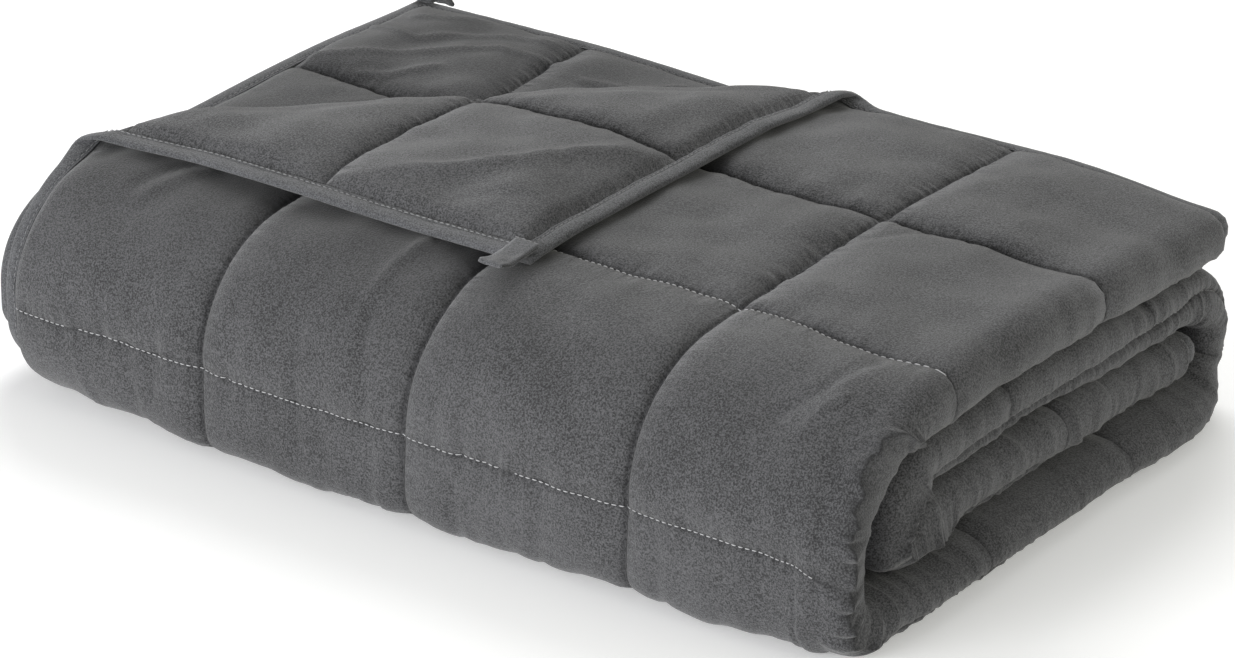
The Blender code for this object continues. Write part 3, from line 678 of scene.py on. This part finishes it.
def sewn_puckers(material, colour, bump):
    """Fine puckers beside the seams, too small for the mesh, and painted shade from the point attribute
    "seam": dark seam hollows, a darker second layer and a painted shadow beside the flap.
    """
    nodes, links = material.node_tree.nodes, material.node_tree.links

    def math_node(operation, first, second=None):
        node = nodes.new("ShaderNodeMath")
        node.operation = operation
        for socket, value in zip(node.inputs, (first, second)):
            if isinstance(value, (int, float)):
                socket.default_value = value
            elif value is not None:
                links.new(value, socket)
        return node.outputs["Value"]

    cloth = nodes.new("ShaderNodeUVMap")
    cloth.uv_map = "cloth"
    split = nodes.new("ShaderNodeSeparateXYZ")
    links.new(cloth.outputs["UV"], split.inputs["Vector"])
    height = None
    for axis, stretch in (("X", (14.0, 150.0, 1.0)), ("Y", (150.0, 14.0, 1.0))):
        cells = math_node("MULTIPLY", split.outputs[axis], 1.0 / CELL)
        aside = math_node("PINGPONG", cells, 0.5)
        near = math_node("SUBTRACT", 1.0, math_node("MULTIPLY", aside, CELL / 0.018))
        near = math_node("MAXIMUM", near, 0.0)
        placing = nodes.new("ShaderNodeMapping")
        placing.inputs["Scale"].default_value = stretch
        links.new(cloth.outputs["UV"], placing.inputs["Vector"])
        ripple = nodes.new("ShaderNodeTexNoise")
        ripple.inputs["Scale"].default_value = 1.0
        ripple.inputs["Detail"].default_value = 1.0
        links.new(placing.outputs["Vector"], ripple.inputs["Vector"])
        share = math_node("MULTIPLY", math_node("MULTIPLY", near, near), ripple.outputs["Fac"])
        height = share if height is None else math_node("ADD", height, share)
    fine_puckers = nodes.new("ShaderNodeBump")
    fine_puckers.inputs["Strength"].default_value = 0.9
    fine_puckers.inputs["Distance"].default_value = 0.0045
    # The sewing presses the puckers in and the pile lies in hollows, so both reliefs point inwards.
    fine_puckers.invert = True
    bump.invert = True
    links.new(height, fine_puckers.inputs["Height"])
    links.new(fine_puckers.outputs["Normal"], bump.inputs["Normal"])
    # Painted shade: the point attribute mixes the cloth colour towards near black in the seam hollows, on
    # the second layer and beside the flap.
    painted_shade = nodes.new("ShaderNodeAttribute")
    painted_shade.attribute_name = "seam"
    painted_shade_mix = nodes.new("ShaderNodeMix")
    painted_shade_mix.data_type = "RGBA"
    painted_shade_mix.inputs["B"].default_value = (0.012, 0.012, 0.013, 1.0)
    links.new(colour.outputs["Result"], painted_shade_mix.inputs["A"])
    links.new(painted_shade.outputs["Fac"], painted_shade_mix.inputs["Factor"])
    links.new(painted_shade_mix.outputs["Result"], nodes["Principled BSDF"].inputs["Base Color"])


charcoal = bpy.data.materials.new("charcoal_microfibre")
charcoal.use_nodes = True
CHARCOAL_BASE = (0.024, 0.024, 0.0250, 1.0)
CHARCOAL_TIPS = (0.103, 0.103, 0.1075, 1.0)
sewn_puckers(charcoal, *brushed_cloth(charcoal, CHARCOAL_BASE, CHARCOAL_TIPS, 950.0))
quilt_mesh.materials.append(charcoal)
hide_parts("quilt")
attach(quilt, "root")

# ---------------------------------------------------------------------------
# The binding: a strip of the same cloth cut on the bias, folded over the rim all round and
# topstitched. It lies nearly flat, and ripples slightly where the stitching draws it in.
BINDING_WIDTH = 0.0115
BINDING_LIP = 0.0011
# Section of the strip: inset from the outer edge, height.
upper_half = (
    (BINDING_WIDTH, 0.0013),
    (BINDING_WIDTH + 0.0001, 0.0021),
    (BINDING_WIDTH * 0.93, 0.0023),
    (BINDING_WIDTH * 0.81, 0.0015),
    (BINDING_WIDTH * 0.72, 0.0023),
    (BINDING_WIDTH * 0.62, 0.0027),
    (BINDING_WIDTH * 0.42, 0.0028),
    (BINDING_WIDTH * 0.20, 0.0025),
    (BINDING_WIDTH * 0.06, 0.0019),
    (BINDING_WIDTH * 0.01, 0.0008),
)
strip_section = list(upper_half) + [(inset, -height) for inset, height in reversed(upper_half)]
strip_section += [(BINDING_LIP, -0.0010), (BINDING_LIP, 0.0010)]
strip_section = np.array(strip_section)


def side_places(size, crossing):
    """Places along one side of the binding, and how far each slants with the crease."""
    places = np.arange(0.008, size - 0.008, 0.0036)
    slant = np.zeros_like(places)
    if crossing:
        middle = CREASE + EDGE
        reach = math.sqrt(2) * math.pi * CREASE_RADIUS / 2
        slant = 1.0 - smooth((np.abs(places - middle) - reach) / 0.015)
    return places, slant


far_a, far_b = WIDTH + EDGE, LENGTH + EDGE
stations = [(-EDGE, -EDGE, 1.0, 1.0)]
places, slants = side_places(WIDTH, True)
stations += [(a, -EDGE, -slant, 1.0) for a, slant in zip(places, slants)]
stations += [(far_a, -EDGE, -1.0, 1.0)]
places, slants = side_places(LENGTH, False)
stations += [(far_a, b, -1.0, 0.0) for b in places]
stations += [(far_a, far_b, -1.0, -1.0)]
places, slants = side_places(WIDTH, False)
stations += [(a, far_b, 0.0, -1.0) for a in places[::-1]]
stations += [(-EDGE, far_b, 1.0, -1.0)]
places, slants = side_places(LENGTH, True)
stations += [(-EDGE, b, 1.0, -slant) for b, slant in zip(places[::-1], slants[::-1])]
stations = np.array(stations)
ring_a = stations[:, 0:1] + stations[:, 2:3] * strip_section[None, :, 0]
ring_b = stations[:, 1:2] + stations[:, 3:4] * strip_section[None, :, 0]
run_along = np.cumsum(np.hypot(*np.diff(stations[:, :2], axis=0, prepend=stations[:1, :2]).T))
ripple = unevenness(run_along / 0.011, np.full_like(run_along, 7.3), 71)[:, None]
broad_ripple = unevenness(run_along / 0.045, np.full_like(run_along, 3.3), 72)[:, None]
heights = strip_section[None, :, 1] * (0.88 + 0.16 * ripple + 0.12 * broad_ripple)
ring_a = ring_a + (0.0006 * broad_ripple + 0.0003 * ripple) * stations[:, 2:3]
ring_b = ring_b + (0.0006 * broad_ripple + 0.0003 * ripple) * stations[:, 3:4]
spots = lay(ring_a, ring_b, heights)
count, sides = spots.shape[:2]
faces = []
for k in range(count):
    this, following = k * sides, (k + 1) % count * sides
    for m in range(sides):
        n = (m + 1) % sides
        faces.append((this + m, this + n, following + n, following + m))
binding_mesh = bpy.data.meshes.new("bound_edge")
binding_mesh.from_pydata(spots.reshape(-1, 3).tolist(), [], faces)
shell = bmesh.new()
shell.from_mesh(binding_mesh)
bmesh.ops.recalc_face_normals(shell, faces=shell.faces[:])
shell.to_mesh(binding_mesh)
shell.free()
binding_mesh.shade_smooth()
binding = bpy.data.objects.new("bound_edge", binding_mesh)
bpy.context.scene.collection.objects.link(binding)
strip_cloth = bpy.data.materials.new("binding_microfibre")
strip_cloth.use_nodes = True
STRIP_BASE = (0.034, 0.035, 0.037, 1.0)
STRIP_TIPS = (0.125, 0.126, 0.133, 1.0)
brushed_cloth(strip_cloth, STRIP_BASE, STRIP_TIPS, 1100.0)
binding_mesh.materials.append(strip_cloth)
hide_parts("edge_binding")
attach(binding, "root")

# ---------------------------------------------------------------------------
# The corner loops: short lengths of the binding strip, doubled and caught under the bound
# edge, by which a cover is tied to the blanket.
LOOP_LENGTH = 0.0305
LOOP_OVERLAP = 0.0095
LOOP_SEAT = -0.0058
LOOP_WIDTH = 0.016
LOOP_TAPE = 0.0009
LOOP_GAP_HALF = 0.0003
for loop_name, node, root_a, root_b, out_a, out_b, curl in (
    ("loop_at_front", "corner_loop_front", -EDGE, -EDGE + 0.001, -1.0, 0.0, -42.0),
    ("loop_at_back", "corner_loop_back", WIDTH + EDGE - LOOP_WIDTH - 0.001, -EDGE, 0.0, -1.0, 55.0),
):
    rows_across = np.linspace(0.0, 1.0, 9)
    outside = LOOP_GAP_HALF + LOOP_TAPE
    runs = np.linspace(0.0, LOOP_LENGTH - outside, 17)
    bend = np.linspace(0.0, math.pi, 7)[1:-1]
    outer_run = np.concatenate((runs, LOOP_LENGTH - outside + outside * np.sin(bend), runs[::-1]))
    outer_height = np.concatenate((np.full(17, outside), outside * np.cos(bend), np.full(17, -outside)))
    inner_run = np.concatenate((runs, LOOP_LENGTH - outside + LOOP_GAP_HALF * np.sin(bend), runs[::-1]))
    inner_height = outer_height * LOOP_GAP_HALF / outside
    run = np.concatenate((outer_run, inner_run[::-1])) - LOOP_OVERLAP
    height = np.concatenate((outer_height, inner_height[::-1]))
    bent = curl * np.maximum(run, 0.0)
    out = np.where(run < 0.0, run, np.sin(bent) / curl - height * np.sin(bent))
    height = (1.0 - np.cos(bent)) / curl + height * np.cos(bent) + LOOP_SEAT
    run = out
    across = rows_across[:, None] * LOOP_WIDTH
    loop_a = root_a + out_a * run[None, :] + abs(out_b) * across
    loop_b = root_b + out_b * run[None, :] + abs(out_a) * across
    crumple = 0.0011 * unevenness(run[None, :] / 0.0085, across / 0.0075, 91) * smooth(run[None, :] / 0.006)
    points = lay(loop_a, loop_b, height[None, :] + crumple).reshape(-1, 3)
    ring = len(run)
    faces = [(k * ring + m, k * ring + (m + 1) % ring, (k + 1) * ring + (m + 1) % ring, (k + 1) * ring + m)
             for k in range(len(rows_across) - 1) for m in range(ring)]
    last = (len(rows_across) - 1) * ring
    for end in (0, last):
        for m in range(ring // 2 - 1):
            faces.append((end + m, end + m + 1, end + ring - 2 - m, end + ring - 1 - m))
    loop_mesh = bpy.data.meshes.new(loop_name)
    loop_mesh.from_pydata(points.tolist(), [], faces)
    shell = bmesh.new()
    shell.from_mesh(loop_mesh)
    bmesh.ops.recalc_face_normals(shell, faces=shell.faces[:])
    shell.to_mesh(loop_mesh)
    shell.free()
    loop_mesh.shade_smooth()
    loop_mesh.materials.append(strip_cloth)
    loop = bpy.data.objects.new(loop_name, loop_mesh)
    bpy.context.scene.collection.objects.link(loop)
    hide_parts(node)
    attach(loop, "root")

# ---------------------------------------------------------------------------
# The stitching: a paler thread in short lockstitches, along the seams between the squares
# and along the inner edge of the binding.
STITCH_PITCH = 0.0043
STITCH_LENGTH = 0.0029
STITCH_RADIUS = 0.00032


def stitches(name, paths):
    """One mesh of short raised stitches; a path is (a0, b0, a1, b1, side, height)."""
    profile = np.array(((-0.5, 0.35), (-0.3, 1.0), (0.3, 1.0), (0.5, 0.35)))
    turn = np.arange(5) * 2 * math.pi / 5
    verts, faces = [], []
    for a0, b0, a1, b1, side, height in paths:
        size = math.hypot(a1 - a0, b1 - b0)
        middles = np.arange(STITCH_PITCH / 2, size, STITCH_PITCH)
        dir_a, dir_b = (a1 - a0) / size, (b1 - b0) / size
        along = middles[:, None, None] + profile[None, :, None, 0] * STITCH_LENGTH
        radius = profile[None, :, None, 1] * STITCH_RADIUS
        aside = radius * np.cos(turn)[None, None, :]
        a = a0 + dir_a * along - dir_b * aside
        b = b0 + dir_b * along + dir_a * aside
        top = height if height is not None else half_thickness(a, b, np.full_like(a, side))
        h = side * (top + radius * (0.6 + np.sin(turn)[None, None, :]))
        a, b, h = np.broadcast_arrays(a, b, h)
        points = lay(a, b, h)
        for k in range(len(middles)):
            base = len(verts) + k * 20
            for m in range(3):
                for n in range(5):
                    o = (n + 1) % 5
                    this, following = base + 5 * m, base + 5 * m + 5
                    faces.append((this + n, this + o, following + o, following + n))
            faces.append(tuple(base + n for n in range(4, -1, -1)))
            faces.append(tuple(base + 15 + n for n in range(5)))
        verts += points.reshape(-1, 3).tolist()
    mesh = bpy.data.meshes.new(name)
    mesh.from_pydata(verts, [], faces)
    shell = bmesh.new()
    shell.from_mesh(mesh)
    bmesh.ops.recalc_face_normals(shell, faces=shell.faces[:])
    shell.to_mesh(mesh)
    shell.free()
    mesh.shade_smooth()
    item = bpy.data.objects.new(name, mesh)
    bpy.context.scene.collection.objects.link(item)
    return item


pale_paths = [(max(CREASE - 2 * CELL, 0.0) - 0.005, 2 * CELL, 0.575, 2 * CELL, 1, None),
              (0.006, 3 * CELL, 0.585, 3 * CELL, 1, None)]
dark_paths = [(CREASE - CELL - 0.012, CELL, 0.60, CELL, 1, None)]
for column in (1, 2, 3):
    start = max(CREASE - column * CELL - 0.012, 0.013)
    dark_paths.append((column * CELL, start, column * CELL, 0.56, 1, None))
for seam in (1, 2):
    size = CREASE - seam * CELL
    dark_paths.append((seam * CELL, 0.013, seam * CELL, size, -1, None))
    dark_paths.append((0.013, seam * CELL, size, seam * CELL, -1, None))
    dark_paths.append((WIDTH - seam * CELL, 0.013, WIDTH - seam * CELL, size + 0.02, -1, None))
    dark_paths.append((WIDTH - 0.013, seam * CELL, WIDTH - size - 0.02, seam * CELL, -1, None))
dark_paths.append((0.004, 6 * CELL, 0.60, 6 * CELL, 1, None))
row_stitches = stitches("front_row_stitches", pale_paths)
seam_stitches = stitches("seam_stitches", dark_paths)
STITCH_INSET = BINDING_WIDTH - 0.0022
STITCH_HEIGHT = 0.0022
near, far_x, far_y = -EDGE + STITCH_INSET, WIDTH + EDGE - STITCH_INSET, LENGTH + EDGE - STITCH_INSET
edge_paths = []
for side in (1, -1):
    edge_paths += [
        (near, near, far_x, near, side, STITCH_HEIGHT),
        (far_x, near, far_x, far_y, side, STITCH_HEIGHT),
        (far_x, far_y, near, far_y, side, STITCH_HEIGHT),
        (near, far_y, near, near, side, STITCH_HEIGHT),
    ]
end_fold_row = (4 * CELL, 0.90, 4 * CELL, 1.28, 1, None)
loop_root_row = (0.0004, -0.0080, 0.0004, 0.0075, -1, 0.0068)
edge_paths += [end_fold_row, loop_root_row]
edge_stitches = stitches("edge_stitches", edge_paths)
for item, thread_name, tone in (
    (row_stitches, "pale_thread", (0.46, 0.46, 0.47, 1.0)),
    (edge_stitches, "grey_thread", (0.20, 0.20, 0.205, 1.0)),
    (seam_stitches, "charcoal_thread", (0.055, 0.055, 0.057, 1.0)),
):
    thread = bpy.data.materials.new(thread_name)
    thread.use_nodes = True
    thread.node_tree.nodes["Principled BSDF"].inputs["Base Color"].default_value = tone
    thread.node_tree.nodes["Principled BSDF"].inputs["Roughness"].default_value = 0.6
    item.data.materials.append(thread)
    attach(item, "root")

# ---------------------------------------------------------------------------
# Floor and studio light: a wide pale board just under the blanket, and three soft lamps.
FLOOR_SIZE = 16.0
FLOOR_DROP = 0.0003
bpy.ops.object.select_all(action="DESELECT")
bpy.ops.mesh.primitive_plane_add(size=FLOOR_SIZE, location=(0.0, 0.0, -FLOOR_DROP))
floor = bpy.context.active_object
floor.name = "floor"
bpy.ops.object.transform_apply(location=True, rotation=True, scale=True)
pale = bpy.data.materials.new("floor")
pale.use_nodes = True
pale_shader = pale.node_tree.nodes["Principled BSDF"]
pale_shader.inputs["Base Color"].default_value = (0.93, 0.93, 0.93, 1.0)
pale_shader.inputs["Roughness"].default_value = 0.9
pale_shader.inputs["Emission Color"].default_value = (1.0, 1.0, 1.0, 1.0)
pale_shader.inputs["Emission Strength"].default_value = 0.22
floor.data.materials.append(pale)

world = bpy.data.worlds.new("studio")
world.use_nodes = True
world.node_tree.nodes["Background"].inputs["Color"].default_value = (1.0, 1.0, 1.0, 1.0)
world.node_tree.nodes["Background"].inputs["Strength"].default_value = 0.43
bpy.context.scene.world = world
bpy.context.scene.view_settings.view_transform = "Standard"
for name, spot, size, power, tint in (
    ("key", (-1.2, 1.8, 1.9), 1.7, 47.0, (1.0, 1.0, 1.0)),
    ("fill", (-0.7, -2.9, 0.55), 1.9, 104.0, (0.98, 0.99, 1.0)),
    ("side", (2.6, 0.2, 1.3), 1.8, 20.0, (1.0, 1.0, 0.86)),
):
    light_data = bpy.data.lights.new(name, "AREA")
    light_data.shape = "DISK"
    light_data.size = size
    light_data.energy = power
    light_data.color = tint
    light = bpy.data.objects.new(name, light_data)
    light.location = spot
    light.rotation_euler = (Vector(spot) - Vector((0, 0, 0.05))).to_track_quat("Z", "Y").to_euler()
    bpy.context.scene.collection.objects.link(light)
